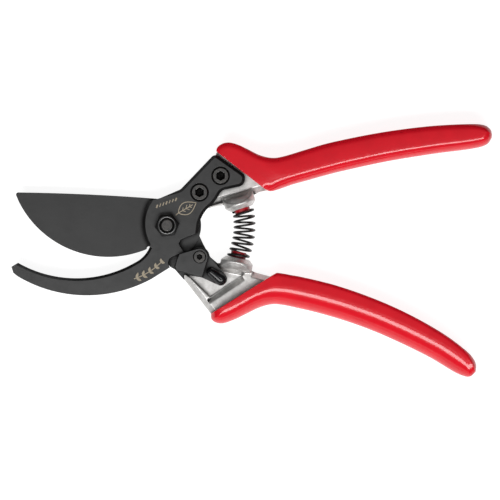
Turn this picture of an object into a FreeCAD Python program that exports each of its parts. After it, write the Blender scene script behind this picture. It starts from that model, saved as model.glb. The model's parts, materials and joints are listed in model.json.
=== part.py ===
"""Bypass pruner: a curved cutting blade that slides past a hooked counter blade.

Frame: the pivot's axis is Z, +Z on the nut's side.  The tool lies on its back on the plane
z = 0, which the bolt's head and both grips touch.  The handles point along +X.
Millimetres.  The model stands at its widest opening, with the latch swung clear.
"""
import FreeCAD, Part
import math
import os

from FreeCAD import Vector

Z_AXIS = Vector(0, 0, 1)
PIVOT = Vector(0, 0, 0)

# Levels through the thickness, from the back to the front
HEAD_TOP = 3.2            # top of the bolt's head, which stands on z = 0
BLADE_SEAT = 4.0          # the back washer's front face
BLADE_BACK = 4.03
BLADE_FRONT = 7.42
TANG_FRONT = 7.1          # the blade's tang is a little thinner than its round land
PLATE_BACK = 7.45
PLATE_FRONT = 11.95
HEAD_BACK = 2.0           # back of the upper handle's flat head
FLOOR_BACK = 1.0          # back of the lower handle's floor, under the tang
FLAT_FRONT = 7.0          # the lower handle's flat beside the tang
STEP_FRONT = 10.0         # the raised step before the lower grip
HUB_BACK = 7.6            # underside of the latch's hub
LOBE_BACK = 9.4
LATCH_BACK = 12.1
LATCH_FRONT = 14.3
GRIP_THICKNESS = 16.0
SPRING_LEVEL = 8.2        # height of the spring's centre line

# Pivot
BOLT_R = 3.0              # M6
BOLT_HEAD_R = 7.0
BOLT_TIP = 16.9
SPANNER_HOLES_R = 4.3     # two pin holes in the bolt's head, for a spanner
SPANNER_HOLE_R = 0.9
WASHER_R = 7.6
BUSH_R = 4.5
RUNNING_FIT = 0.05        # radial clearance of the blade on its bush
NUT_FLATS = 10.0
NUT_TURN = 37.8           # degrees from X to the normal of one flat

# Blade and hook
EDGE_CENTRE, EDGE_R = Vector(-27.2, 31.4), 45.9
HOOK_CENTRE, HOOK_INNER_R = Vector(-41.6, 29.82), 54.1
JAW_BEVEL = 1.2
LAND_R = 15.6             # the blade's round bearing land
BEVEL_WIDTH = 8.0
EDGE_THICKNESS = 0.35

# Latch stop on the hook plate, in degrees about the pivot
TOOTH_NEAR = -58.5
TOOTH_FAR = -67.5
TOOTH_TIP_R = 17.4

# Fasteners
HOOK_SCREWS = [Vector(24.6, 22.8), Vector(14.9, 15.2)]
BLADE_SCREWS = [Vector(10.8, -19.3), Vector(20.0, -20.7)]
LATCH_AT = Vector(14.95, -14.44)
SCREW_R = 2.5             # M5
BLADE_SCREW_R = 2.0       # M4
LATCH_SCREW_R = 2.0       # M4
EYE_R = 4.05              # the latch plate's round end about its screw
COUNTERSINK = 1.8
BLADE_SCREW_HEAD_R = 3.8
BLADE_SCREW_TIP = 6.7

# Spring and its seats; the spring's centre line is an arc about the pivot
SPRING_ARC_R = 35.6
SPRING_TOP = 11.2         # degrees about the pivot, middle of the first coil's wire
SPRING_BOTTOM = -23.2
SPRING_TURNS = 7.5
SPRING_R = 4.65           # from the centre line to the middle of the wire
WIRE_R = 0.48
UPPER_SEAT, UPPER_TILT = Vector(34.3, 7.75, SPRING_LEVEL), 18.0
LOWER_SEAT, LOWER_TILT = Vector(32.5, -14.9, SPRING_LEVEL), -11.5
BOSS_LENGTH = 7.4
BUMPER_R = 3.6
BUMPER_STEM_R = 2.2
STEM_LENGTH = 5.0
UPPER_POST = 1.8          # how far each rubber stop stands out of its seat
LOWER_POST = 2.9

# Grips
SLEEVE = 2.2              # thickness of the dipped sleeve
GRIP_ROUND = 3.2

# ---------------------------------------------------------------- drawing helpers

def polar(radius, degrees, z=0.0):
    """A point given by its distance and angle about the pivot."""
    turn = math.radians(degrees)
    return Vector(radius * math.cos(turn), radius * math.sin(turn), z)


def arc_from(start, direction, end):
    """The arc that leaves start along direction and ends at end, or the line if it is straight."""
    chord = end - start
    along = direction.dot(chord) / chord.Length
    across = direction - chord * (along / chord.Length)
    if across.Length < 1e-6:
        return Part.LineSegment(start, end).toShape()
    rise = chord.Length / 2 * math.tan(math.atan2(across.Length, along) / 2)
    middle = start + chord * 0.5 + across.normalize() * rise
    return Part.Arc(start, middle, end).toShape()


def biarc(start, leaving, end, arriving):
    """Two tangent arcs from start to end with the given directions."""
    chord = end - start
    spread = 1 - leaving.dot(arriving)
    reach = chord.dot(leaving + arriving)
    if spread < 1e-9:
        handle = chord.dot(chord) / (2 * reach)
    else:
        handle = (math.sqrt(reach ** 2 + 2 * spread * chord.dot(chord)) - reach) / (2 * spread)
    joint = (start + leaving * handle + end - arriving * handle) * 0.5
    return [arc_from(start, leaving, joint), arc_from(end, arriving * -1, joint)]


def smooth_edges(points, directions=None):
    """Tangent arcs through all the points; each direction follows the neighbours."""
    if directions is None:
        directions = []
        for i in range(len(points)):
            before, after = points[max(i - 1, 0)], points[min(i + 1, len(points) - 1)]
            directions.append((after - before).normalize())
    edges = []
    for i in range(len(points) - 1):
        edges += biarc(points[i], directions[i], points[i + 1], directions[i + 1])
    return edges


class Outline:
    """A closed outline in the XY plane, drawn from point to point."""

    def __init__(self, x, y):
        self.first = self.at = Vector(x, y, 0)
        self.edges = []

    def line(self, *points):
        for x, y in points:
            end = Vector(x, y, 0)
            self.edges.append(Part.LineSegment(self.at, end).toShape())
            self.at = end
        return self

    def arc(self, through, end):
        middle, end = Vector(*through, 0), Vector(*end, 0)
        self.edges.append(Part.Arc(self.at, middle, end).toShape())
        self.at = end
        return self

    def smooth(self, *points):
        path = [self.at] + [Vector(x, y, 0) for x, y in points]
        self.edges += smooth_edges(path)
        self.at = path[-1]
        return self

    def face(self):
        if self.at.distanceToPoint(self.first) > 1e-6:
            self.line((self.first.x, self.first.y))
        return Part.Face(Part.Wire(Part.__sortEdges__(self.edges)))

    def solid(self, low, high):
        face = self.face()
        face.translate(Vector(0, 0, low))
        return face.extrude(Vector(0, 0, high - low))


def disc(centre, radius, low, high):
    return Part.makeCylinder(radius, high - low, Vector(centre.x, centre.y, low))


def rounded(solid, corners):
    """Rounds the upright edges nearest to the given (x, y, radius) corners."""
    for x, y, radius in corners:
        upright = [e for e in solid.Edges if len(e.Vertexes) == 2
                   and e.Vertexes[0].Point.sub(e.Vertexes[1].Point).cross(Z_AXIS).Length < 1e-6]
        nearest = min(upright, key=lambda e: math.hypot(e.CenterOfMass.x - x, e.CenterOfMass.y - y))
        solid = solid.makeFillet(radius, [nearest])
    return solid


def rim_edges(solid, level, keep=lambda point: True):
    """The edges of the flat face at one level whose middles pass the test."""
    found = []
    for edge in solid.Edges:
        box = edge.BoundBox
        if abs(box.ZMin - level) < 1e-4 and abs(box.ZMax - level) < 1e-4:
            middle = edge.valueAt((edge.FirstParameter + edge.LastParameter) / 2)
            if keep(middle):
                found.append(edge)
    return found


def socket_screw(centre, head_r, head_low, head_high, shank_r, tip, socket_flats, socket_depth):
    """A cap screw that points down, with a hexagon socket and a chamfered head."""
    head = disc(centre, head_r, head_low, head_high)
    head = head.makeChamfer(0.4, rim_edges(head, head_high))
    screw = head.fuse(disc(centre, shank_r, tip, head_low)).removeSplitter()
    return screw.cut(hexagon(centre, socket_flats, 0, head_high - socket_depth, head_high + 1))


def hexagon(centre, flats, turn, low, high):
    reach = flats / math.sqrt(3)
    corners = [centre + polar(reach, turn + 30 + 60 * k) for k in range(7)]
    wire = Part.makePolygon([Vector(p.x, p.y, low) for p in corners])
    return Part.Face(wire).extrude(Vector(0, 0, high - low))


# ---------------------------------------------------------------- pivot

def pivot_bolt():
    """Flat-headed bolt that enters from the back; its end stands just proud of the nut."""
    head = disc(PIVOT, BOLT_HEAD_R, 0, HEAD_TOP)
    head = head.makeChamfer(0.8, rim_edges(head, 0))
    shank = disc(PIVOT, BOLT_R, HEAD_TOP, BOLT_TIP)
    shank = shank.makeChamfer(0.6, rim_edges(shank, BOLT_TIP))
    bolt = head.fuse(shank).removeSplitter()
    for side in (-1, 1):
        bolt = bolt.cut(disc(polar(side * SPANNER_HOLES_R, NUT_TURN), SPANNER_HOLE_R, -1, 1.6))
    return bolt


def ring(outer_r, low, high):
    """A flat ring or tube on the pivot bolt."""
    return disc(PIVOT, outer_r, low, high).cut(disc(PIVOT, BOLT_R, low, high))


def pivot_washer():
    return ring(WASHER_R, HEAD_TOP, BLADE_SEAT)


def pivot_bush():
    """Steel sleeve that the blade turns on, clamped between the washer and the hook plate."""
    return ring(BUSH_R, BLADE_SEAT, PLATE_BACK)


def pivot_nut():
    """Lock nut: a hexagon with a round collar, open over the bolt's end."""
    hex_top = PLATE_FRONT + 3.6
    collar_top = hex_top + 1.2
    nut = hexagon(PIVOT, NUT_FLATS, NUT_TURN, PLATE_FRONT, hex_top)
    corner_r = NUT_FLATS / math.sqrt(3)
    cone = Part.makeCone(corner_r + 3.0, corner_r - 0.75, 3.75, Vector(0, 0, PLATE_FRONT - 0.15))
    nut = nut.common(cone)
    collar = disc(PIVOT, 4.5, hex_top, collar_top)
    collar = collar.makeFillet(0.45, rim_edges(collar, collar_top))
    nut = nut.fuse(collar)
    nut = nut.cut(disc(PIVOT, BOLT_R, PLATE_FRONT - 1, collar_top + 1))
    return nut.cut(disc(PIVOT, 3.4, collar_top - 0.9, collar_top + 1))


# ---------------------------------------------------------------- hook side

def on_handle_rim(point):
    return point.x > 13.4 or point.y > 12.6


def on_left_rim(point):
    return point.x < -9 and point.y > -9


def jaw_bevel(centre, radius, sector):
    """The slope along one arc of the hook's inner edge, a cone about that arc's centre."""
    low, high = PLATE_FRONT - JAW_BEVEL, PLATE_FRONT + 1
    cone = Part.makeCone(radius, radius + JAW_BEVEL + 1, high - low,
                         Vector(centre.x, centre.y, low))
    return cone.common(sector.solid(low, high))


def hook_plate():
    """The counter blade: a plate round the pivot that runs out into the hooked jaw."""
    outline = (Outline(-8.0, 11.2)
               .arc((-11.1, -0.3), (-8.0, -9.9))
               .arc((-10.9, -14.3), (-14.6, -17.0))
               .arc((HOOK_CENTRE.x, HOOK_CENTRE.y - HOOK_INNER_R), (-68.5, -17.2))
               .line((-71.5, -19.0), (-70.6, -21.8), (-68.6, -23.4))
               .arc((-37.0, -32.15), (-7.0, -24.5))
               .line((1.3, -19.3), (14.3, -3.2))
               .smooth((15.0, 1.6), (17.4, 6.4), (21.5, 10.6), (25.1, 16.1))
               .line((35.4, 18.4), (36.0, 23.0), (21.9, 33.0), (6.2, 16.6), (-3.3, 12.5)))
    plate = rounded(outline.solid(PLATE_BACK, PLATE_FRONT), [
        (25.1, 16.1, 4.0), (35.4, 18.4, 3.4), (36.0, 23.0, 3.0), (21.9, 33.0, 2.3),
        (6.2, 16.6, 3.0)])
    for size, rim in ((1.3, on_handle_rim), (1.1, on_left_rim)):
        plate = plate.makeChamfer(size, rim_edges(plate, PLATE_FRONT, rim))
    jaw = Outline(-14.6, -17.0).line((-14.0, 0), (-80, 0), (-80, -40), (-15.6, -40))
    plate = plate.cut(jaw_bevel(HOOK_CENTRE, HOOK_INNER_R, jaw))
    bend = Part.Circle(Vector(-8.0, -9.9), Vector(-10.9, -14.3), Vector(-14.6, -17.0))
    root = Outline(-14.6, -17.0).line((-15.6, -40), (-5, -40), (-5, -11.2), (-8.0, -9.9), (-14, -8))
    plate = plate.cut(jaw_bevel(bend.Center, bend.Radius, root))
    plate = plate.cut(latch_notch()).cut(latch_bay()).fuse(latch_tooth()).removeSplitter()
    plate = plate.cut(disc(PIVOT, BOLT_R, PLATE_BACK - 1, PLATE_FRONT + 1))
    for centre in HOOK_SCREWS:
        plate = plate.cut(disc(centre, SCREW_R, PLATE_BACK - 1, PLATE_FRONT + 1))
        plate = plate.cut(disc(centre, 4.3, PLATE_FRONT - 3.0, PLATE_FRONT + 1))
    return plate


def latch_notch():
    """The space in the plate's edge that holds the latch's lug when the handles are locked."""
    notch = (Outline(6.4, -6.3).line((14.3, -3.2), (20.0, -6.0), (20.0, -12.5), (6.4, -12.5))
             .line((6.5, -11.2), (5.2, -8.2)))
    return rounded(notch.solid(PLATE_BACK - 1, PLATE_FRONT + 1),
                   [(6.4, -6.3, 2.0), (5.2, -8.2, 1.0)])


def latch_bay():
    """The hollow beside the tooth, where the lug can swing while the handles are open."""
    bay = (Outline(1.3, -19.3).arc((0.5, -16.6), (2.9, -14.1))
           .line((5.9, -12.7), (9.0, -12.5), (9.0, -22.0), (3.0, -22.0)))
    return bay.solid(PLATE_BACK - 1, PLATE_FRONT + 1)


def latch_tooth():
    """The stop between the two spaces; the locked lug catches on its far side."""
    root = polar(11.6, TOOTH_NEAR)
    tooth = Outline(root.x, root.y)
    for radius, angle in ((TOOTH_TIP_R, TOOTH_NEAR), (TOOTH_TIP_R, TOOTH_FAR), (13.0, TOOTH_FAR)):
        corner = polar(radius, angle)
        tooth.line((corner.x, corner.y))
    return tooth.solid(PLATE_BACK, PLATE_FRONT)


def hook_screw(centre):
    return socket_screw(centre, 3.8, PLATE_FRONT - 3.0, PLATE_FRONT + 0.1, SCREW_R,
                        PLATE_BACK - 4.6, 4.0, 2.4)


# ---------------------------------------------------------------- blade side

def cutting_blade():
    """Curved blade, round bearing land and the tang that the lower handle holds."""
    edge_start = EDGE_CENTRE + polar(EDGE_R, 206.5)
    edge_end = EDGE_CENTRE + polar(EDGE_R, 292.5)
    edge_middle = EDGE_CENTRE + polar(EDGE_R, 250.0)
    blade = (Outline(-68.4, 15.2)
             .arc((-69.4, 14.75), (-69.4, 13.6))
             .line((edge_start.x, edge_start.y))
             .arc((edge_middle.x, edge_middle.y), (edge_end.x, edge_end.y))
             .line((-9.2, -9.9), (-8.0, -9.4), (3.0, -8.0), (4.0, 9.0), (-3.5, 12.2))
             .arc((-36.0, 14.25), (-68.4, 15.2)))
    blade = blade.solid(BLADE_BACK, BLADE_FRONT).cut(blade_bevel())
    land = disc(PIVOT, LAND_R, BLADE_BACK, BLADE_FRONT)
    trim = Outline(-30, 12.2).line((30, 12.2), (30, 30), (-30, 30)).solid(0, 20)
    trim = trim.fuse(Outline(-30, 30).line((-30, -30), (-7.0, -30), (-7.0, 30)).solid(0, 20))
    land = land.cut(trim)
    tang = (Outline(-5.0, -12.0).line((1.3, -19.0), (3.7, -20.4), (7.8, -25.1), (7.8, -22.6))
            .line((15.5, -23.5), (22.0, -24.6), (24.6, -21.2), (22.95, -17.2), (19.7, -14.4))
            .line((16.5, -8.4), (14.2, -3.5), (8.0, 8.0)))
    blade = blade.fuse([land, tang.solid(BLADE_BACK, TANG_FRONT)]).removeSplitter()
    blade = blade.cut(disc(PIVOT, BUSH_R + RUNNING_FIT, 0, 20))
    blade = blade.cut(disc(LATCH_AT, LATCH_SCREW_R, 4.2, 20))
    for centre in BLADE_SCREWS:
        blade = blade.cut(disc(centre, BLADE_SCREW_R, 0, BLADE_SCREW_TIP))
    return blade


def blade_bevel():
    """What grinding takes off the back of the blade: a cone about the edge's own centre."""
    low, high = BLADE_BACK, BLADE_FRONT - EDGE_THICKNESS
    outside = Part.makeCylinder(EDGE_R + 12, high - low, Vector(EDGE_CENTRE.x, EDGE_CENTRE.y, low))
    kept = Part.makeCone(EDGE_R - BEVEL_WIDTH, EDGE_R, high - low,
                         Vector(EDGE_CENTRE.x, EDGE_CENTRE.y, low))
    spared = Outline(-16.0, -30).line((-9.0, 20), (40, 20), (40, -30)).solid(0, 20)
    return outside.cut(kept).cut(spared)


def blade_screw(centre):
    """Countersunk screw that enters the lower handle from the back."""
    screw = blade_screw_hole(centre).removeSplitter()
    return screw.cut(hexagon(centre, 2.5, 0, FLOOR_BACK - 1, FLOOR_BACK + 1.4))


# ---------------------------------------------------------------- latch

def tangent_angle(point, side):
    """Where a line from the point touches the latch's round eye, in degrees about the eye."""
    away = point - Vector(LATCH_AT.x, LATCH_AT.y, 0)
    heading = math.degrees(math.atan2(away.y, away.x))
    return heading + side * math.degrees(math.acos(EYE_R / away.Length))


def latch_plate():
    """Flat lever on the tang: a nose with a lug underneath, and a lower thumb lobe."""
    inner, outer = Vector(5.6, -12.95), Vector(16.3, -24.0)
    eye = [tangent_angle(inner, -1), 45.0, tangent_angle(outer, 1)]
    touch, crown, leave = [LATCH_AT + polar(EYE_R, angle) for angle in eye]
    plate = (Outline(inner.x, inner.y).line((touch.x, touch.y))
             .arc((crown.x, crown.y), (leave.x, leave.y))
             .line((outer.x, outer.y), (4.2, -20.7), (3.5, -18.9), (4.4, -15.7)))
    plate = plate.solid(LATCH_BACK, LATCH_FRONT)
    soft_corners = rounded(plate, [(5.6, -12.95, 0.6), (4.2, -20.7, 0.8)])
    plate = plate.makeChamfer(0.35, rim_edges(plate, LATCH_FRONT)).common(soft_corners)
    lobe = (Outline(12.0, -16.0).line((15.0, -23.0), (16.3, -24.1), (24.0, -27.6))
            .arc((27.2, -26.1), (26.6, -22.6)).line((19.5, -14.3)))
    lobe = lobe.solid(LOBE_BACK, LATCH_BACK + 0.2)
    lug = Outline(4.0, -18.3).line((4.1, -20.3), (6.2, -20.9), (6.0, -18.5))
    lug = lug.solid(BLADE_FRONT + 0.25, LATCH_BACK + 0.2)
    hub = disc(LATCH_AT, 4.6, HUB_BACK, LATCH_BACK + 0.2)
    plate = plate.fuse([lobe, lug, hub]).removeSplitter()
    plate = plate.cut(disc(LATCH_AT, LATCH_SCREW_R + RUNNING_FIT, 0, 20))
    return plate.cut(disc(LATCH_AT, 3.0, LATCH_FRONT - 1.4, 20))


def latch_knob():
    """Moulded thumb pad that wraps the end of the lobe."""
    low, high = LOBE_BACK - 0.6, 15.4
    pad = (Outline(18.6, -20.4).arc((19.9, -19.1), (21.8, -19.5)).line((26.3, -22.3))
           .arc((27.6, -25.6), (24.4, -27.6)).line((18.9, -24.2)).arc((17.9, -22.4), (18.6, -20.4)))
    pad = pad.solid(low, high)
    pad = pad.makeFillet(1.9, rim_edges(pad, high))
    return pad.cut(latch_plate())


def latch_screw():
    return socket_screw(LATCH_AT, 2.9, LATCH_FRONT - 1.35, LATCH_FRONT + 0.3, LATCH_SCREW_R,
                        4.2, 2.5, 1.2)


def latch_washer():
    """Friction washer under the latch's hub; it holds the latch where it is put."""
    ring = disc(LATCH_AT, 4.4, TANG_FRONT, HUB_BACK - 0.02)
    return ring.cut(disc(LATCH_AT, LATCH_SCREW_R, 0, 20))


# ---------------------------------------------------------------- handles

def seat_axes(seat, tilt):
    """The direction out of a spring seat, towards the spring, and the direction along it."""
    turn = math.radians(tilt)
    outward = Vector(math.sin(turn), -math.cos(turn), 0)
    if seat.y < 0:
        outward = outward * -1
    return outward, Vector(math.cos(turn), math.sin(turn), 0)


def boss(seat, tilt, radius, back, front):
    """A barrel under the spring's seat; its front and back fall away to the handle's faces."""
    outward, along = seat_axes(seat, tilt)
    barrel = Part.makeCylinder(radius, BOSS_LENGTH, seat, outward * -1)
    seat_rim = [e for e in barrel.Edges
                if e.Closed and e.CenterOfMass.distanceToPoint(seat) < 0.01]
    barrel = barrel.makeChamfer(2.0, seat_rim)
    shoulder = seat - outward * (BOSS_LENGTH * 0.35) - along * (radius + 1)
    foot = seat - outward * (BOSS_LENGTH + 0.1) - along * (radius + 1)
    for crest, level in ((SPRING_LEVEL + radius, front), (SPRING_LEVEL - radius, back)):
        corners = [at_level(shoulder, crest), at_level(foot, level), at_level(foot, crest)]
        roof = Part.Face(Part.makePolygon(corners + corners[:1]))
        barrel = barrel.cut(roof.extrude(along * (2 * radius + 2)))
    return barrel


def at_level(point, level):
    return Vector(point.x, point.y, level)


def bumper(seat, tilt, reach):
    """Rubber stop inside the spring's end: a post on a stem that plugs into the boss."""
    outward, along = seat_axes(seat, tilt)
    post = Part.makeCylinder(BUMPER_R, reach, seat, outward)
    tip = [e for e in post.Edges
           if e.Closed and e.CenterOfMass.distanceToPoint(seat + outward * reach) < 0.01]
    post = post.makeFillet(0.5, tip)
    stem = Part.makeCylinder(BUMPER_STEM_R, STEM_LENGTH, seat - outward * STEM_LENGTH, outward)
    return post.fuse(stem).removeSplitter()


def slope(start, end, width, low, high):
    """A wedge along a line: upright over the line, sloping up to its right."""
    start, end = Vector(*start, 0), Vector(*end, 0)
    along = (end - start).normalize()
    right = along.cross(Z_AXIS)
    foot = start - along * 1.0
    profile = [foot + Z_AXIS * low, foot + right * width + Z_AXIS * high, foot + Z_AXIS * high]
    face = Part.Face(Part.makePolygon(profile + profile[:1]))
    return face.extrude(along * (end.distanceToPoint(start) + 2.0))


def upper_grip_outline():
    return (Outline(22.7, 34.1)
            .smooth((24.4, 37.0), (28.2, 38.2), (32.5, 37.3), (42.8, 32.5), (48.4, 31.2),
                    (54.0, 31.9), (70.4, 36.8), (97.9, 42.8), (131.1, 46.6), (144.5, 46.6),
                    (149.3, 42.4), (146.2, 36.8), (131.1, 33.9), (97.9, 28.7), (64.8, 20.5),
                    (53.6, 17.3), (48.9, 15.0), (45.9, 16.2)))


def lower_grip_outline():
    return (Outline(49.4, -22.5)
            .smooth((51.8, -21.8), (59.3, -22.9), (81.4, -28.4), (103.5, -36.9), (125.5, -48.6),
                    (138.0, -57.9), (142.2, -64.5), (137.6, -70.1), (131.1, -67.1),
                    (103.5, -52.2), (75.0, -42.0), (53.8, -36.9), (47.5, -36.6), (37.2, -40.7),
                    (26.8, -45.1), (22.0, -44.6), (20.2, -40.9)))


def handle_core(outline):
    """The forged bar inside a grip: the grip's outline drawn in by the sleeve's thickness."""
    inner = outline.face().makeOffset2D(-SLEEVE)
    inner.translate(Vector(0, 0, SLEEVE))
    return inner.extrude(Vector(0, 0, GRIP_THICKNESS - 2 * SLEEVE))


def grip(outline, handle):
    """Sleeve with rounded rims, open at the mouth and closed round the handle."""
    mouth = outline.at.sub(outline.first).normalize()
    block = outline.solid(0, GRIP_THICKNESS)

    def off_mouth(point):
        flat = Vector(point.x, point.y, 0)
        return flat.distanceToLine(outline.first, mouth) > 0.3

    rims = rim_edges(block, 0, off_mouth) + rim_edges(block, GRIP_THICKNESS, off_mouth)
    return block.makeFillet(GRIP_ROUND, rims).cut(handle)


def upper_handle():
    """Aluminium forging: flat head under the hook plate, spring boss and gripped bar."""
    head = (Outline(15.1, 7.7).arc((12.2, 11.7), (8.0, 14.9))
            .line((9.3, 18.4), (19.8, 29.0), (21.9, 31.3), (22.7, 33.6), (30.0, 34.0),
                  (50.0, 20.0), (45.9, 16.0), (42.4, 15.4), (41.0, 14.6), (32.0, 10.0),
                  (25.0, 9.2), (19.3, 8.0)))
    head = head.solid(HEAD_BACK, PLATE_BACK)
    head = head.cut(slope((45.9, 16.0), (15.1, 7.7), 3.0, PLATE_BACK - 2.4, PLATE_BACK))
    core = handle_core(upper_grip_outline())
    handle = head.fuse([core, boss(UPPER_SEAT, UPPER_TILT, 7.3, HEAD_BACK, PLATE_BACK)])
    handle = handle.cut(bumper(UPPER_SEAT, UPPER_TILT, UPPER_POST)).removeSplitter()
    for centre in HOOK_SCREWS:
        handle = handle.cut(disc(centre, SCREW_R, PLATE_BACK - 4.6, PLATE_BACK + 1))
    return handle


def tang_pocket():
    """The space above the lower handle's floor that the tang and the latch need."""
    sides = (Outline(3.0, -14.0).line((-4.0, -22.0), (7.8, -27.0), (7.8, -22.6), (15.5, -23.5))
             .line((22.0, -24.6), (24.6, -21.2), (22.95, -17.2), (24.0, -8.0), (12.0, 0)))
    return sides.solid(BLADE_BACK, GRIP_THICKNESS)


def lower_handle():
    """Aluminium forging: stepped head with a floor under the tang, spring boss and bar."""
    head = (Outline(3.4, -16.8).line((3.4, -19.8), (7.9, -24.9), (20.3, -40.9), (27.0, -43.0))
            .line((52.0, -28.0), (50.0, -24.5), (46.9, -23.3), (40.3, -21.5), (31.0, -17.0),
                  (23.1, -17.3), (20.1, -14.9), (17.0, -9.4), (14.6, -8.6))
            .arc((9.8, -13.9), (3.4, -16.8)))
    head = head.solid(FLOOR_BACK, STEP_FRONT)
    flat = (Outline(10.3, -23.9).line((19.7, -33.0), (34.6, -23.06), (37.0, -20.0), (30.0, -12.0))
            .line((12.0, -5.0), (-2.0, -16.0)))
    head = head.cut(flat.solid(FLAT_FRONT, GRIP_THICKNESS))
    for start, end, width, low in (((19.0, -33.5), (33.5, -23.8), 2.4, FLAT_FRONT),
                                   ((20.3, -40.9), (7.9, -24.9), 2.5, STEP_FRONT - 2.6),
                                   ((40.3, -21.5), (47.5, -23.4), 2.6, STEP_FRONT - 3.4)):
        head = head.cut(slope(start, end, width, low, STEP_FRONT))
    core = handle_core(lower_grip_outline())
    handle = head.fuse([core, boss(LOWER_SEAT, LOWER_TILT, 7.5, FLOOR_BACK, FLAT_FRONT)])
    handle = handle.cut([tang_pocket(), bumper(LOWER_SEAT, LOWER_TILT, LOWER_POST)])
    handle = handle.removeSplitter()
    for centre in BLADE_SCREWS:
        handle = handle.cut(blade_screw_hole(centre))
    return handle


def blade_screw_hole(centre):
    head = Part.makeCone(BLADE_SCREW_HEAD_R, BLADE_SCREW_R, COUNTERSINK,
                         Vector(centre.x, centre.y, FLOOR_BACK))
    return head.fuse(disc(centre, BLADE_SCREW_R, FLOOR_BACK, BLADE_SCREW_TIP))


# ---------------------------------------------------------------- spring

def return_spring():
    """Open coil whose rings lean over evenly from one seat's slope to the other's."""
    steps = int(SPRING_TURNS * 8)
    points = [spring_point(k / steps) for k in range(steps + 1)]
    small = 1e-4
    directions = [(spring_point(k / steps + small) - spring_point(k / steps - small)).normalize()
                  for k in range(steps + 1)]
    path = Part.Wire(smooth_edges(points, directions))
    ring = Part.Wire(Part.Circle(points[0], directions[0], WIRE_R).toShape())
    return path.makePipeShell([ring], True, False)


def spring_point(share):
    """A point on the wire's centre line; share runs from 0 at the top seat to 1."""
    centre = polar(SPRING_ARC_R, SPRING_TOP + share * (SPRING_BOTTOM - SPRING_TOP), SPRING_LEVEL)
    lean = math.radians(UPPER_TILT + share * (LOWER_TILT - UPPER_TILT))
    turn = 2 * math.pi * SPRING_TURNS * share
    across = Vector(math.cos(lean), math.sin(lean), 0)
    return centre + across * (SPRING_R * math.cos(turn)) + Z_AXIS * (SPRING_R * math.sin(turn))


# ---------------------------------------------------------------- all nodes

def nodes():
    upper_bar, lower_bar = upper_handle(), lower_handle()
    return {
        "hook_plate": hook_plate(),
        "upper_handle": upper_bar,
        "upper_grip": grip(upper_grip_outline(), upper_bar),
        "hook_screw_front": hook_screw(HOOK_SCREWS[0]),
        "hook_screw_rear": hook_screw(HOOK_SCREWS[1]),
        "upper_bumper": bumper(UPPER_SEAT, UPPER_TILT, UPPER_POST),
        "pivot_bolt": pivot_bolt(),
        "pivot_washer": pivot_washer(),
        "pivot_bush": pivot_bush(),
        "pivot_nut": pivot_nut(),
        "cutting_blade": cutting_blade(),
        "lower_handle": lower_bar,
        "lower_grip": grip(lower_grip_outline(), lower_bar),
        "blade_screw_front": blade_screw(BLADE_SCREWS[0]),
        "blade_screw_rear": blade_screw(BLADE_SCREWS[1]),
        "lower_bumper": bumper(LOWER_SEAT, LOWER_TILT, LOWER_POST),
        "return_spring": return_spring(),
        "latch_plate": latch_plate(),
        "latch_knob": latch_knob(),
        "latch_screw": latch_screw(),
        "latch_washer": latch_washer(),
    }


def main():
    os.makedirs("parts", exist_ok=True)
    for name, shape in nodes().items():
        print(name, "valid" if shape.isValid() else "INVALID", len(shape.Solids),
              round(shape.Volume, 1))
        shape.exportStep("parts/" + name + ".step")


main()
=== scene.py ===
"""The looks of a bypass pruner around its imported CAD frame.  Metres; lengths below are given in mm."""
import json
import math

import bmesh
import bpy
import numpy as np
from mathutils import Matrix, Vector


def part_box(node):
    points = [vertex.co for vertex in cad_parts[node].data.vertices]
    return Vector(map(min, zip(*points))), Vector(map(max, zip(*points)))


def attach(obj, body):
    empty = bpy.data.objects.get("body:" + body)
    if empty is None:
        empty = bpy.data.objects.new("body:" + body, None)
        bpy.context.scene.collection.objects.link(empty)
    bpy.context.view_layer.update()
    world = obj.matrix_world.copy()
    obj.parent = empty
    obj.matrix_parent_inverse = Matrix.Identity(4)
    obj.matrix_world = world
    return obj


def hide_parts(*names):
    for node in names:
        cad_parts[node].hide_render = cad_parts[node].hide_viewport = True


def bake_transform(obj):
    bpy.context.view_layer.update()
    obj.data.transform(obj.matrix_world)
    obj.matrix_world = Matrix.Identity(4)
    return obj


MM = 0.001
HOOK_BODY, BLADE_BODY, LATCH_BODY = "hook_handle", "blade_handle", "latch"

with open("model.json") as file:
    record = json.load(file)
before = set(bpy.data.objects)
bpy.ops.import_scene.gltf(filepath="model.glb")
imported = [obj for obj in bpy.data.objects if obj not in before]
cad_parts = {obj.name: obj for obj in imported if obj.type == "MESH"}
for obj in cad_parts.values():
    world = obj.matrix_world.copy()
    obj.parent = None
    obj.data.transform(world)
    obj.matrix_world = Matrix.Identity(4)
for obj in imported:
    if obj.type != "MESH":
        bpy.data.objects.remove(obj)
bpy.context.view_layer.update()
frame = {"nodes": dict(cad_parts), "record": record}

# ---------------------------------------------------------------- node graphs

MID = (0.3, 0.7)                # the values between which most of a noise lies
NARROW = (0.35, 0.65)           # the same, for a stronger contrast
BEVEL_SAMPLES = 6
OCCLUSION_SAMPLES = 8
EDGE_TURN = (0.995, 0.80)       # cosine between the flat and the rounded normal: clear of an edge, on it
FACING_TURN = (0.80, 0.97)      # cosine between the normal and the pivot's axis, for the painted shade on chamfers: chamfer, flat face


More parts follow.
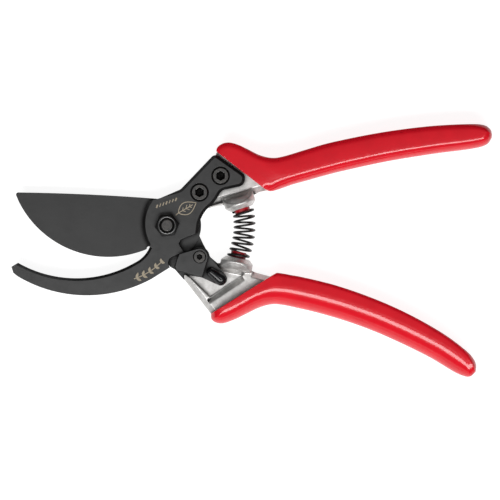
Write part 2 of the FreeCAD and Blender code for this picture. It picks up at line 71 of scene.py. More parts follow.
class Graph:
    """A material whose nodes are written as short calls; sizes in its textures are in mm."""

    def __init__(self, name):
        self.material = bpy.data.materials.new(name)
        self.material.use_nodes = True
        self.tree = self.material.node_tree
        self.tree.nodes.clear()
        self.bsdf = self.node("BsdfPrincipled")
        output = self.node("OutputMaterial")
        self.tree.links.new(self.bsdf.outputs[0], output.inputs["Surface"])
        place = self.node("TexCoord").outputs["Object"]
        self.mm = self.node("VectorMath", {0: place, "Scale": 1 / MM}, operation="SCALE").outputs[0]

    def node(self, kind, inputs=None, **settings):
        """A new shader node, with its settings and what feeds its inputs."""
        made = self.tree.nodes.new("ShaderNode" + kind)
        for name, value in settings.items():
            setattr(made, name, value)
        for key, value in (inputs or {}).items():
            self.feed(made.inputs[key], value)
        return made

    def feed(self, socket, value):
        """Links another node's output to a socket, or sets a plain value or colour."""
        if isinstance(value, bpy.types.NodeSocket):
            self.tree.links.new(value, socket)
        elif isinstance(value, tuple) and len(value) == 3 and socket.type == "RGBA":
            socket.default_value = (*value, 1)
        else:
            socket.default_value = value

    def stretched(self, factors, turn=0.0):
        """The position turned about Z, then scaled along each axis."""
        turned = self.node("VectorRotate", {"Vector": self.mm, "Angle": turn}, rotation_type="Z_AXIS")
        return self.node("VectorMath", {0: turned.outputs[0], 1: factors}, operation="MULTIPLY").outputs[0]

    def noise(self, size, detail=2.0, where=None):
        """Noise from 0 to 1 whose blotches are about the given size in mm."""
        made = self.node("TexNoise", {"Vector": where or self.mm, "Scale": 1 / size, "Detail": detail})
        return made.outputs["Fac"]

    def ramp(self, value, low, high, out_low=0.0, out_high=1.0):
        """A value mapped from one range to another, and held at its ends."""
        made = self.node("MapRange", {"Value": value, "From Min": low, "From Max": high,
                                      "To Min": out_low, "To Max": out_high})
        return made.outputs[0]

    def maths(self, operation, first, second=0.0):
        """One step of arithmetic."""
        return self.node("Math", {0: first, 1: second}, operation=operation).outputs[0]

    def blend(self, share, first, second):
        """A colour that turns from the first to the second as share goes from 0 to 1."""
        made = self.node("Mix", {"Factor": share, 6: first, 7: second}, data_type="RGBA")
        return made.outputs[2]

    def rounded(self, radius):
        """The normal that the surface would have with its edges rounded to a radius in mm."""
        return self.node("Bevel", {"Radius": radius * MM}, samples=BEVEL_SAMPLES).outputs[0]

    def edges(self, radius):
        """How close a point is to a sharp edge: 0 on a flat face, up to 1 at the edge."""
        flat = self.node("NewGeometry").outputs["Normal"]
        same = self.node("VectorMath", {0: self.rounded(radius), 1: flat}, operation="DOT_PRODUCT")
        return self.ramp(same.outputs["Value"], *EDGE_TURN)

    def painted_hollow_shade(self, reach, darkest=0.1, shut=0.45, clear=0.95, own=False):
        """Painted shade from ambient occlusion: falls from 1 on open faces to the darkest value deep in a
        pit or gap about reach mm wide; own looks only at the piece itself."""
        made = self.node("AmbientOcclusion", {"Distance": reach * MM}, samples=OCCLUSION_SAMPLES,
                         only_local=own)
        return self.ramp(made.outputs["AO"], shut, clear, darkest, 1.0)

    def chamfer_shade(self, chamfer_share, keep=None):
        """Painted shade on chamfers and sides: 1 on faces square to the pivot's axis, falling to the given
        lowest share on chamfers and sides; keep, from 0 to 1, holds it at 1."""
        normal = self.node("VectorTransform", {0: self.node("NewGeometry").outputs["True Normal"]},
                           vector_type="NORMAL", convert_from="WORLD", convert_to="OBJECT").outputs[0]
        level = self.maths("ABSOLUTE", self.node("SeparateXYZ", {0: normal}).outputs[2])
        share = self.ramp(level, *FACING_TURN, chamfer_share, 1.0)
        return self.maths("MAXIMUM", share, keep) if keep is not None else share

    def along_x(self, low, high):
        """1 at low mm and 0 at high mm along X."""
        return self.ramp(self.node("SeparateXYZ", {0: self.mm}).outputs[0], low, high, 1.0, 0.0)

    def radius(self):
        """The distance in mm from the pivot's axis."""
        flat = self.node("VectorMath", {0: self.mm, 1: (1.0, 1.0, 0.0)}, operation="MULTIPLY").outputs[0]
        return self.node("VectorMath", {0: flat}, operation="LENGTH").outputs["Value"]

    def bump(self, height, depth, softened=0.0):
        """Raises the surface by up to depth mm; softened also rounds edges to that radius in mm."""
        inputs = {"Height": height, "Distance": depth * MM, "Strength": 1.0}
        if softened:
            inputs["Normal"] = self.rounded(softened)
        return self.node("Bump", inputs).outputs[0]

    def finish(self, **values):
        """Sets the surface's inputs by name, and gives the finished material."""
        for name, value in values.items():
            self.feed(self.bsdf.inputs[name.replace("_", " ")], value)
        return self.material


BLACK = (0.0, 0.0, 0.0)
WHITE = (1.0, 1.0, 1.0)
COATING_GRAIN, COATING_DEPTH = 0.35, 0.004      # size and height of the coating's grain
COATING_HIGHLIGHT_STRENGTH = 0.12                     # how strongly its edges get a painted highlight
COATING_CHAMFER_SHADE, BLADE_CHAMFER_SHADE = 0.28, 0.35   # the share of the sheen left on chamfers and sides, as painted shade
# Colours of the painted highlight on the edges of the coating and of the blade
COATING_EDGE_HIGHLIGHT = (0.16, 0.155, 0.15)
BLADE_EDGE_HIGHLIGHT = (0.2, 0.2, 0.2)
HOOK_TIP, HOOK_ROOT = -52.0, -30.0      # X where the hook's bevel keeps its full sheen as a painted highlight, and where it has the chamfers' painted shade
GRINDING_TURN = math.radians(-6)        # the grinding lines against X
GRINDING_STRETCH = (0.05, 1.0, 1.0)
ALLOY_DULL, ALLOY_PALE = (0.56, 0.55, 0.535), (0.72, 0.71, 0.695)
# The alloy's peened grain, the painted highlight on its edges and the painted shade in its creases
ALLOY_PIT, ALLOY_EDGE_HIGHLIGHT, ALLOY_CREASE_SHADE = (0.38, 0.37, 0.36), (0.92, 0.91, 0.89), (0.06, 0.06, 0.06)
COLLAR_IN, COLLAR_OUT = (3.45, 3.6), (4.25, 4.12)     # radii between which the painted highlight on the lock nut's rim fades in
# The nut's black and dark grey, and the colour of the painted highlight on its rim
NUT_BLACK, NUT_GREY, NUT_RIM_HIGHLIGHT = (0.006, 0.006, 0.006), (0.011, 0.011, 0.011), (0.20, 0.20, 0.20)
MARK_DARK, MARK_PALE = (0.27, 0.225, 0.16), (0.44, 0.375, 0.275)


def grey(level, red=1.0, green=1.0, blue=1.0):
    """A grey, with small tints of its channels."""
    return (level * red, level * green, level * blue)


def coated_steel(name, shade, roughness, gloss, own=False):
    """Dark coating: most of its tone is a broad sheen, so faces that tilt away turn nearly black. Its edges
    get a patchy painted highlight; its sheen gets painted shade in hollows and on chamfers and sides,
    except towards the hook's tip, where the bevel keeps it as a painted highlight.
    """
    g = Graph(name)
    cloud = g.noise(9.0, detail=3.0)
    fine = g.noise(COATING_GRAIN, detail=3.0)
    tone = g.ramp(g.maths("ADD", cloud, fine), 0.7, 1.3, 0.8, 1.2)
    base = g.blend(tone, BLACK, grey(shade, blue=1.02))
    # Painted highlight: the edges are lightened in patches
    patchy = g.ramp(g.noise(1.4, detail=3.0), *NARROW, 0.0, COATING_HIGHLIGHT_STRENGTH)
    edge_highlight = g.maths("MULTIPLY", g.edges(radius=0.22), patchy)
    colour = g.blend(edge_highlight, base, COATING_EDGE_HIGHLIGHT)
    # Painted shade: the sheen dims in hollows, and on chamfers and sides away from the hook's tip
    hollow_shade = g.painted_hollow_shade(reach=2.6, darkest=0.05, shut=0.35, clear=0.85, own=own)
    sheen = g.maths("MULTIPLY", g.ramp(cloud, *MID, gloss * 0.93, gloss * 1.07), hollow_shade)
    sheen = g.maths("MULTIPLY", sheen, g.chamfer_shade(COATING_CHAMFER_SHADE, keep=g.along_x(HOOK_TIP, HOOK_ROOT)))
    rough = g.ramp(g.noise(3.0, detail=4.0), *MID, roughness - 0.03, roughness + 0.04)
    return g.finish(Base_Color=colour, Roughness=rough, Specular_IOR_Level=sheen,
                    Normal=g.bump(fine, COATING_DEPTH, softened=0.12))


def ground_steel(name, shade, roughness, gloss):
    """The blade: the same coating over fine grinding lines that follow its length; a faint painted
    highlight on its edges, and painted shade on its sheen in hollows and on chamfers and sides.
    """
    g = Graph(name)
    lines = g.noise(0.16, detail=2.0, where=g.stretched(GRINDING_STRETCH, GRINDING_TURN))
    cloud = g.noise(14.0, detail=2.0)
    tone = g.ramp(g.maths("ADD", g.maths("MULTIPLY", lines, 0.5), cloud), 0.5, 1.0, 0.85, 1.15)
    base = g.blend(tone, BLACK, grey(shade, blue=1.02))
    # Faint painted highlight along the edges
    colour = g.blend(g.maths("MULTIPLY", g.edges(radius=0.2), 0.12), base, BLADE_EDGE_HIGHLIGHT)
    # Painted shade: the sheen dims in hollows and on chamfers and sides
    sheen = g.maths("MULTIPLY", g.ramp(cloud, *MID, gloss * 0.95, gloss * 1.05), g.painted_hollow_shade(reach=2.2))
    sheen = g.maths("MULTIPLY", sheen, g.chamfer_shade(BLADE_CHAMFER_SHADE))
    rough = g.ramp(lines, *MID, roughness - 0.03, roughness + 0.04)
    return g.finish(Base_Color=colour, Roughness=rough, Specular_IOR_Level=sheen,
                    Normal=g.bump(lines, depth=0.002, softened=0.1))


def forged_alloy(name):
    """Tumbled forged aluminium: pale, softly mottled, with a fine peened grain; a painted highlight on its
    edges and painted shade in its creases and hollows.
    """
    g = Graph(name)
    blotch = g.noise(2.2, detail=4.0)
    grain = g.noise(0.3, detail=3.0)
    colour = g.blend(g.ramp(blotch, 0.35, 0.68), ALLOY_DULL, ALLOY_PALE)
    colour = g.blend(g.ramp(grain, 0.56, 0.72, 0.0, 0.5), colour, ALLOY_PIT)
    # Painted highlight on the edges, then painted shade in creases and hollows
    colour = g.blend(g.maths("MULTIPLY", g.edges(radius=0.3), 0.45), colour, ALLOY_EDGE_HIGHLIGHT)
    colour = g.blend(g.painted_hollow_shade(reach=1.6, darkest=0.2), ALLOY_CREASE_SHADE, colour)
    rough = g.ramp(g.maths("ADD", blotch, g.maths("MULTIPLY", grain, 0.5)), 0.5, 1.0, 0.34, 0.50)
    return g.finish(Base_Color=colour, Metallic=0.6, Roughness=rough, Normal=g.bump(grain, depth=0.02))


def dipped_vinyl(name, colour, roughness):
    """Glossy vinyl dip with the slight unevenness of a poured skin."""
    g = Graph(name)
    skin = g.noise(7.0, detail=2.0)
    pores = g.noise(0.5, detail=2.0)
    deep = tuple(c * 0.9 for c in colour)
    base = g.blend(g.ramp(skin, *MID), deep, colour)
    rough = g.ramp(pores, *MID, roughness - 0.02, roughness + 0.03)
    return g.finish(Base_Color=base, Roughness=rough, IOR=1.5, Normal=g.bump(pores, depth=0.0015))


def moulded(name, colour, roughness, grain, depth):
    """Plain moulded rubber or plastic with a fine surface texture."""
    g = Graph(name)
    texture = g.noise(grain, detail=3.0)
    darker = tuple(c * 0.75 for c in colour)
    base = g.blend(g.ramp(texture, *MID), darker, colour)
    rough = g.ramp(texture, *MID, roughness - 0.05, roughness + 0.05)
    return g.finish(Base_Color=base, Roughness=rough, Normal=g.bump(texture, depth, softened=0.1))


def machined_steel(name, shade, roughness, metallic=1.0, darkest_shade=0.03):
    """Turned fasteners, blackened: tiny turning marks, a painted highlight on the edges, and painted shade
    in sockets and hollows that also dims the sheen.
    """
    g = Graph(name)
    stain = g.noise(1.1, detail=3.0)
    fine = g.noise(0.12, detail=2.0)
    base = g.blend(g.ramp(stain, *NARROW), grey(shade * 0.85), grey(shade, 1.15, 1.1, 1.05))
    # Painted highlight on the edges, patchy with the stain
    edge_highlight = g.maths("MULTIPLY", g.edges(radius=0.25), g.ramp(stain, 0.3, 0.6, *MID))
    colour = g.blend(edge_highlight, base, grey(shade, 3.0, 2.9, 2.8))
    # Painted shade: sockets and hollows darken towards black, and their sheen dims
    hollow_shade = g.painted_hollow_shade(reach=3.2, darkest=darkest_shade, shut=0.5, clear=0.9)
    colour = g.blend(hollow_shade, BLACK, colour)
    rough = g.ramp(fine, *MID, roughness - 0.05, roughness + 0.07)
    return g.finish(Base_Color=colour, Metallic=metallic, Roughness=rough,
                    Specular_IOR_Level=g.maths("MULTIPLY", hollow_shade, 0.5),
                    Normal=g.bump(fine, depth=0.003, softened=0.12))


def lock_nut_steel(name):
    """Black hexagon; the rolled rim of its collar carries a painted highlight, and the sheen gets painted
    shade in hollows.
    """
    g = Graph(name)
    r = g.radius()
    # Painted highlight: a bright, metallic band of radii on the collar's rim
    ring = g.maths("MULTIPLY", g.ramp(r, *COLLAR_IN), g.ramp(r, *COLLAR_OUT))
    fine = g.noise(0.15, detail=2.0)
    dark = g.blend(g.ramp(fine, *MID), NUT_BLACK, NUT_GREY)
    colour = g.blend(g.maths("MULTIPLY", ring, g.ramp(fine, *MID, 0.7, 1.0)), dark, NUT_RIM_HIGHLIGHT)
    # Painted shade: the sheen dims in hollows
    sheen = g.maths("MULTIPLY", g.painted_hollow_shade(reach=1.4), 0.45)
    return g.finish(Base_Color=colour, Metallic=ring, Roughness=0.30, Specular_IOR_Level=sheen,
                    Normal=g.bump(fine, depth=0.002))


def laser_marking(name):
    """Pale tan marks with a fine speckle."""
    g = Graph(name)
    speckle = g.noise(0.25, detail=2.0)
    colour = g.blend(g.ramp(speckle, *NARROW), MARK_DARK, MARK_PALE)
    return g.finish(Base_Color=colour, Roughness=0.6, Normal=g.bump(speckle, depth=0.004))


RED_VINYL = (0.74, 0.008, 0.020)
RED_RUBBER = (0.42, 0.004, 0.012)
KNOB_BLACK = (0.006, 0.006, 0.007)
# The material of each of the record's slots
LOOKS = {
    "coated_steel": coated_steel("matte_coating", shade=0.006, roughness=0.37, gloss=0.84, own=True),
    "blade_steel": ground_steel("blade_coating", shade=0.006, roughness=0.37, gloss=0.80),
    "forged_alloy": forged_alloy("forged_aluminium"),
    "dipped_vinyl": dipped_vinyl("red_vinyl", RED_VINYL, roughness=0.15),
    "dark_screws": machined_steel("black_oxide", shade=0.10, roughness=0.36),
    "stop_rubber": moulded("red_rubber", RED_RUBBER, roughness=0.38, grain=0.3, depth=0.004),
    "pivot_steel": machined_steel("dark_plated_steel", shade=0.11, roughness=0.32, darkest_shade=0.3),
    "bush_bronze": machined_steel("turned_bronze", shade=0.3, roughness=0.30),
    "spring_steel": machined_steel("black_spring_wire", shade=0.016, roughness=0.32, metallic=0.3,
                                   darkest_shade=0.5),
    "latch_steel": coated_steel("latch_coating", shade=0.007, roughness=0.38, gloss=0.86),
    "knob_plastic": moulded("black_plastic", KNOB_BLACK, roughness=0.24, grain=0.5, depth=0.001),
}
NUT_LOOK = lock_nut_steel("lock_nut_steel")
MARK_LOOK = laser_marking("laser_marking")


def dress(obj, look):
    """Gives a piece one material."""
    obj.data.materials.clear()
    obj.data.materials.append(look)


for entry in frame["record"]["subparts"]:
    node = frame["nodes"][entry["node"]]
    for place in node.material_slots:
        place.material = LOOKS[entry["material_slot"]]

# ---------------------------------------------------------------- mesh helpers

WELD = 0.002              # points closer than this are one point


def piece(name, slot, vertices, faces, smooth=True):
    """A mesh piece from vertices in mm, in one of the record's material slots."""
    mesh = bpy.data.meshes.new(name)
    mesh.from_pydata([Vector(v) * MM for v in vertices], [], faces)
    bm = bmesh.new()
    bm.from_mesh(mesh)
    bmesh.ops.remove_doubles(bm, verts=bm.verts, dist=WELD * MM)
    bmesh.ops.recalc_face_normals(bm, faces=bm.faces)
    bm.to_mesh(mesh)
    bm.free()
    if smooth:
        mesh.shade_smooth()
    obj = bpy.data.objects.new(name, mesh)
    bpy.context.scene.collection.objects.link(obj)
    dress(obj, LOOKS[slot])
    return obj


def bake_modifiers(obj):
    """Replaces a piece's mesh by what its modifiers make of it."""
    view = bpy.context.evaluated_depsgraph_get()
    done = bpy.data.meshes.new_from_object(obj.evaluated_get(view))
    obj.modifiers.clear()
    obj.data = done
    obj.data.shade_smooth()


def through(points, count):
    """Even steps along a smooth curve through the points (Catmull-Rom)."""
    points = np.array(points, float)
    padded = np.vstack([2 * points[0] - points[1], points, 2 * points[-1] - points[-2]])
    out = []
    for share in np.linspace(0, len(points) - 1, count):
        k = min(int(share), len(points) - 2)
        t = share - k
        p0, p1, p2, p3 = padded[k:k + 4]
        out.append(0.5 * (2 * p1 + (p2 - p0) * t + (2 * p0 - 5 * p1 + 4 * p2 - p3) * t * t
                          + (3 * p1 - p0 - 3 * p2 + p3) * t ** 3))
    return np.array(out)


# ---------------------------------------------------------------- grips

SPRING_LEVEL = 8.2        # height of the spring's middle above the table
GRIP_HALF = 8.0           # half the grips' thickness
GRIP_STEPS = 150          # sections along a grip
OUTLINE_STEPS = 900       # points along its outline, to measure distances from
CROWN = 0.62              # how much the flat faces bulge
LIP = 2.1                 # thickness of the vinyl at the mouth
POCKET = 7.0              # how deep the mouth is open round the handle
ACROSS = 37               # points across each face
THINNEST = 0.02           # half the thickness left at a grip's outline
WALL_STEPS = (0.94, 0.5, 0.0, -0.5, -0.94)    # levels of the side wall's points, as shares of its half
# Rims: how far in a face's rounding reaches, how high it is, and how round (see rim_drop)
TAIL_RIM = (3.6, 5.6, 1.0)
UPPER_HIGH_RIM, UPPER_LOW_RIM, UPPER_MOUTH_RIM = (2.8, 1.3, 0.12), (4.6, 6.0, 1.0), (3.4, 3.4, 1.0)
LOWER_HIGH_RIM, LOWER_LOW_RIM, LOWER_MOUTH_RIM = (1.7, 1.1, 0.3), (9.6, 7.9, 1.0), (7.0, 6.2, 1.0)
MOUTH_BLEND = (0.06, 0.32)    # shares of the length over which the mouth's rim turns into the low rim
TAIL_BLEND = (0.80, 0.98)     # and over which both rims turn into the tail's
# The lip's rings from the pocket outwards: (how far inside the outline, how far behind the mouth)
LIP_RINGS = [(LIP, POCKET), (LIP, 0.5), (LIP - 0.15, 0.0), (LIP - 0.5, -0.2), (0.45, -0.2), (0.12, -0.1)]

# Ribs from the mouth to the tail: the point on the +Y side, then the point on the -Y side
UPPER_RIBS = [
    ((22.6, 34.2), (45.9, 16.1)), ((22.9, 35.4), (46.9, 15.7)), ((24.0, 36.7), (48.2, 15.7)),
    ((26.2, 37.8), (49.6, 16.0)), ((29.2, 38.0), (51.2, 16.5)), ((33.0, 36.9), (53.0, 17.1)),
    ((37.2, 34.9), (55.0, 17.8)), ((42.7, 32.2), (57.2, 18.6)),
    ((48.3, 31.0), (59.6, 19.3)), ((53.9, 31.8), (63.6, 20.4)), ((64.8, 35.1), (71.5, 22.6)),
    ((75.9, 38.2), (80.8, 25.0)), ((97.9, 42.6), (101.0, 29.4)), ((120.0, 45.5), (122.0, 32.8)),
    ((138.0, 46.5), (139.0, 35.0)), ((145.5, 46.1), (146.3, 36.8)), ((148.6, 44.1), (148.9, 39.6)),
    ((149.4, 41.9), (149.4, 41.9))]
LOWER_RIBS = [
    ((49.6, -22.3), (20.0, -40.7)), ((50.3, -21.8), (20.4, -43.2)), ((51.2, -21.8), (22.6, -44.8)),
    ((52.6, -22.0), (26.2, -45.0)), ((54.5, -22.3), (31.7, -43.0)), ((57.0, -22.8), (37.2, -40.3)),
    ((60.0, -23.3), (42.7, -37.7)), ((63.3, -24.0), (48.3, -36.3)), ((67.0, -24.8), (53.8, -36.7)),
    ((71.5, -25.9), (60.5, -38.1)), ((77.5, -27.5), (69.0, -40.1)), ((89.0, -31.3), (82.0, -43.9)),
    ((102.0, -36.5), (95.5, -48.8)), ((115.0, -42.8), (109.0, -54.8)),
    ((127.5, -50.1), (121.5, -61.1)), ((136.6, -56.9), (131.1, -66.9)),
    ((140.3, -60.6), (136.0, -69.2)), ((142.0, -63.9), (139.3, -69.5)),
    ((141.9, -67.3), (141.9, -67.3))]


def rim_drop(distance, reach, height, roundness):
    """How far a rim lies below the face, at a distance from the outline.

    Roundness 1 is a quarter ellipse; 0 is a shallow curve that ends in a corner."""
    inside = np.clip(1 - distance / reach, 0, 1)
    return height * (roundness * (1 - np.sqrt(1 - inside ** 2)) + (1 - roundness) * inside ** 2)


def ease(value, low, high):
    """Rises smoothly from 0 at low to 1 at high."""
    share = np.clip((value - low) / (high - low), 0, 1)
    return share * share * (3 - 2 * share)


def between(first, second, share):
    """A rim part of the way from the first to the second."""
    return [a * (1 - share) + b * share for a, b in zip(first, second)]


def nearest(points, curve):
    """Each point's distance from a finely stepped curve."""
    return np.sqrt(((points[:, None, :] - curve[None, :, :]) ** 2).sum(2)).min(1)


def grip(name, node, body, ribs, high_rim, low_rim, mouth_rim):
    """A vinyl sleeve through its ribs.  A rim is (reach, height, roundness) of its rounding; the
    low side has the mouth's rim at first and its own a little further on."""
    high = through([rib[0] for rib in ribs], GRIP_STEPS)
    low = through([rib[1] for rib in ribs], GRIP_STEPS)
    fine_high = through([rib[0] for rib in ribs], OUTLINE_STEPS)
    fine_low = through([rib[1] for rib in ribs], OUTLINE_STEPS)
    across = 0.5 - 0.5 * np.cos(np.linspace(0, math.pi, ACROSS))
    loops = []
    for k in range(GRIP_STEPS):
        flat = high[k] + (low[k] - high[k]) * across[:, None]
        to_high, to_low = nearest(flat, fine_high), nearest(flat, fine_low)
        to_high[0] = to_low[-1] = 0
        share = k / GRIP_STEPS
        tail = ease(share, *TAIL_BLEND)
        below = between(between(mouth_rim, low_rim, ease(share, *MOUTH_BLEND)), TAIL_RIM, tail)
        drop = np.maximum(rim_drop(to_high, *between(high_rim, TAIL_RIM, tail)), rim_drop(to_low, *below))
        crown = CROWN * (1 - tail) * (2 * across - 1) ** 2
        level = np.maximum(GRIP_HALF - crown - drop, THINNEST)
        front = [(x, y, GRIP_HALF + z) for (x, y), z in zip(flat, level)]
        back = [(x, y, GRIP_HALF - z) for (x, y), z in zip(flat, level)]
        wall = [[(p[0], p[1], GRIP_HALF + q * (p[2] - GRIP_HALF)) for q in WALL_STEPS]
                for p in (front[-1], front[0])]
        loops.append(front + wall[0] + back[::-1] + wall[1][::-1])
    finish_grip(name, node, body, loops)


def finish_grip(name, node, body, loops):
    """Adds the rolled lip and the open pocket at the mouth, then closes and smooths the mesh."""
    mouth = np.array(loops[0])
    first, last = mouth[0], mouth[ACROSS - 1]
    middle = np.array([(first[0] + last[0]) / 2, (first[1] + last[1]) / 2, GRIP_HALF])
    inward = np.array([last[1] - first[1], first[0] - last[0], 0.0])
    if inward[0] < 0:
        inward = -inward
    width = np.linalg.norm(inward) / 2
    inward /= 2 * width

    def ring(offset, depth):
        """The mouth's outline drawn in by offset and set back by depth."""
        shrunk = (mouth - middle) * [1 - offset / width, 1 - offset / width, 1 - offset / GRIP_HALF]
        return (middle + shrunk + inward * depth).tolist()

    loops = [ring(offset, depth) for offset, depth in LIP_RINGS] + loops
    count = len(loops[0])
    vertices = [v for loop in loops for v in loop]
    faces = []
    for k in range(len(loops) - 1):
        for i in range(count):
            j = (i + 1) % count
            faces.append((k * count + i, k * count + j, (k + 1) * count + j, (k + 1) * count + i))
    faces.append(tuple(range(count))[::-1])
    made = piece(name, "dipped_vinyl", vertices, faces)
    made.modifiers.new("fine", "SUBSURF").levels = 1
    bake_modifiers(made)
    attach(made, body)
    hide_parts(node)


grip("upper_vinyl_grip", "upper_grip", HOOK_BODY, UPPER_RIBS,
     UPPER_HIGH_RIM, UPPER_LOW_RIM, UPPER_MOUTH_RIM)
grip("lower_vinyl_grip", "lower_grip", BLADE_BODY, LOWER_RIBS,
     LOWER_HIGH_RIM, LOWER_LOW_RIM, LOWER_MOUTH_RIM)

# ---------------------------------------------------------------- forged handles

BOSS_RINGS = 16           # steps along a boss's back
BOSS_SIDES = 48           # points round it
BOSS_NOSE = 2.2           # the first part of its length, which widens
BOSS_TAPER = 0.9          # how much narrower it starts, as a share of the nose
BOSS_FALL = 2.6           # the power with which its crest falls to the foot
BOSS_INSET = 0.05         # keeps it clear of the CAD's own faces
BOSS_UNDER = 0.5          # its lower half's height, as a share of its width
# Each boss: middle of its seat (x, y), tilt in degrees, radius, length and the level of its foot
UPPER_BOSS = ((34.3, 7.75), 18.0, 7.3, 6.8, 7.6)
LOWER_BOSS = ((32.5, -14.9), -11.5, 7.5, 6.4, 7.2)
UPPER_BAR, LOWER_BAR = 4.0, 1.2     # how far behind the grip's mouth each bar ends
FORGING_VOXEL = 0.24
FORGING_SMOOTHING = 4


def barrel(bm, seat, tilt, radius, length, foot):
    """Adds the rounded back of a spring boss: a barrel whose crest curves down to the foot's level."""
    turn = math.radians(tilt)
    behind = Vector((-math.sin(turn), math.cos(turn), 0)) * (1 if seat[1] > 0 else -1)
    along = Vector((math.cos(turn), math.sin(turn), 0))
    middle = Vector((*seat, SPRING_LEVEL))
    foot_rise = foot - SPRING_LEVEL
    rings = []
    for k in range(BOSS_RINGS + 1):
        share = k / BOSS_RINGS
        wide = radius - max(0.0, BOSS_NOSE - share * length) * BOSS_TAPER - BOSS_INSET
        high = min(foot_rise + (radius - foot_rise) * (1 - share ** BOSS_FALL) ** 0.5, wide)
        centre = middle + behind * (share * length + BOSS_INSET)
        ring = []
        for i in range(BOSS_SIDES):
            spin = math.tau * i / BOSS_SIDES
            rise = math.sin(spin) * (high if i <= BOSS_SIDES // 2 else wide * BOSS_UNDER)
            spot = centre + along * (wide * math.cos(spin)) + Vector((0, 0, rise))
            ring.append(bm.verts.new(spot * MM))
        rings.append(ring)
    for first, second in zip(rings, rings[1:]):
        for i in range(BOSS_SIDES):
            j = (i + 1) % BOSS_SIDES
            bm.faces.new((first[i], first[j], second[j], second[i]))
    bm.faces.new(rings[0])
    bm.faces.new(rings[-1])


def forged(name, node, body, mouth, boss, bar):
    """The handle's head with the soft corners of a forging; the bar ends inside the grip."""
    mesh = frame["nodes"][node].data.copy()
    bm = bmesh.new()
    bm.from_mesh(mesh)
    bmesh.ops.remove_doubles(bm, verts=bm.verts, dist=WELD / 2 * MM)
    shell = bmesh.new()
    barrel(shell, *boss)
    bmesh.ops.recalc_face_normals(shell, faces=shell.faces)
    extra = bpy.data.meshes.new(name + "_barrel")
    shell.to_mesh(extra)
    shell.free()
    start, end = (Vector((*point, 0)) * MM for point in mouth)
    outward = (end - start).cross(Vector((0, 0, 1))).normalized()
    if outward.x < 0:
        outward.negate()
    cut = bmesh.ops.bisect_plane(bm, geom=bm.verts[:] + bm.edges[:] + bm.faces[:],
                                 plane_co=start + outward * bar * MM, plane_no=outward, clear_outer=True)
    rim = [e for e in cut["geom_cut"] if isinstance(e, bmesh.types.BMEdge)]
    bmesh.ops.holes_fill(bm, edges=rim)
    bm.from_mesh(extra)
    bm.to_mesh(mesh)
    bm.free()
    obj = bpy.data.objects.new(name, mesh)
    bpy.context.scene.collection.objects.link(obj)
    remesh = obj.modifiers.new("even", "REMESH")
    remesh.mode = "VOXEL"
    remesh.voxel_size = FORGING_VOXEL * MM
    soften = obj.modifiers.new("soften", "SMOOTH")
    soften.factor = 0.5
    soften.iterations = FORGING_SMOOTHING
    bake_modifiers(obj)
    dress(obj, LOOKS["forged_alloy"])
    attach(obj, body)
    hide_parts(node)


forged("upper_forging", "upper_handle", HOOK_BODY, UPPER_RIBS[0], UPPER_BOSS, UPPER_BAR)
forged("lower_forging", "lower_handle", BLADE_BODY, LOWER_RIBS[0], LOWER_BOSS, LOWER_BAR)

# ---------------------------------------------------------------- spring

SPRING_ARC_R = 35.6       # the coil's middle runs on an arc about the pivot
SPRING_R = 4.65
WIRE_R = 0.51
TURN_STEP = 4.57          # degrees about the pivot for one turn of wire
FIRST_TURN = 10.3         # where the wire's first right-hand tip lies
TURNS = 7.5               # open turns
FIRST_CLOSING, LAST_CLOSING = 0.55, 0.5   # how much the turns past each end close up
LEANS = [14.0, 12.3, 9.5, 4.5, -0.8, -6.3, -11.5, -14.4, -15.2, -15.0]   # degrees, one a turn
WIRE_STEPS = 400
WIRE_SIDES = 12
WIRE_START, WIRE_TURNS = -0.5, TURNS + 0.75
WIRE_DOME = 0.4           # the height of its domed ends, as a share of its radius


def spring_point(turn):
    """A point on the wire's middle; turn 0 is the first tip on the +X side."""
    flat = max(0.0, -turn) * FIRST_CLOSING + min(0.0, TURNS - turn) * LAST_CLOSING
    angle = math.radians(FIRST_TURN - TURN_STEP * (turn + flat))
    spot = turn + 1
    low = min(max(int(spot), 0), len(LEANS) - 2)
    lean = math.radians(LEANS[low] + (LEANS[low + 1] - LEANS[low]) * (spot - low))
    middle = Vector((SPRING_ARC_R * math.cos(angle), SPRING_ARC_R * math.sin(angle), SPRING_LEVEL))
    across = Vector((math.cos(lean), math.sin(lean), 0))
    spin = math.tau * turn
    return middle + across * (SPRING_R * math.cos(spin)) + Vector((0, 0, SPRING_R * math.sin(spin)))


def wire(name, slot, points, radius):
    """A round wire with domed ends along the points."""
    vertices, faces, normal = [], [], Vector((0, 0, 1))
    count, sides = len(points), WIRE_SIDES
    for k, point in enumerate(points):
        along = (points[min(k + 1, count - 1)] - points[max(k - 1, 0)]).normalized()
        normal = (normal - along * normal.dot(along)).normalized()
        side = along.cross(normal)
        for i in range(sides):
            turn = math.tau * i / sides
            vertices.append(point + (normal * math.cos(turn) + side * math.sin(turn)) * radius)
    for k in range(count - 1):
        for i in range(sides):
            j = (i + 1) % sides
            faces.append((k * sides + i, k * sides + j, (k + 1) * sides + j, (k + 1) * sides + i))
    for end, inner in ((0, 1), (count - 1, count - 2)):
        outwards = (points[end] - points[inner]).normalized()
        vertices.append(points[end] + outwards * radius * WIRE_DOME)
        hub = len(vertices) - 1
        for i in range(sides):
            j = (i + 1) % sides
            faces.append((hub, end * sides + i, end * sides + j))
    return piece(name, slot, vertices, faces)


spring_line = [spring_point(WIRE_START + WIRE_TURNS * k / WIRE_STEPS) for k in range(WIRE_STEPS + 1)]
spring = wire("coil_spring", "spring_steel", spring_line, WIRE_R)
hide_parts("return_spring")
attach(spring, BLADE_BODY)
spring.parent = None
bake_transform(spring)

# ---------------------------------------------------------------- nut and knob

NUT_FLAT_R = 5.0          # half the width across the flats
NUT_TURN = 37.8           # degrees from X to the normal of one flat
NUT_STEPS = 144           # points round it
NUT_FOOT = 11.95          # level of its underside
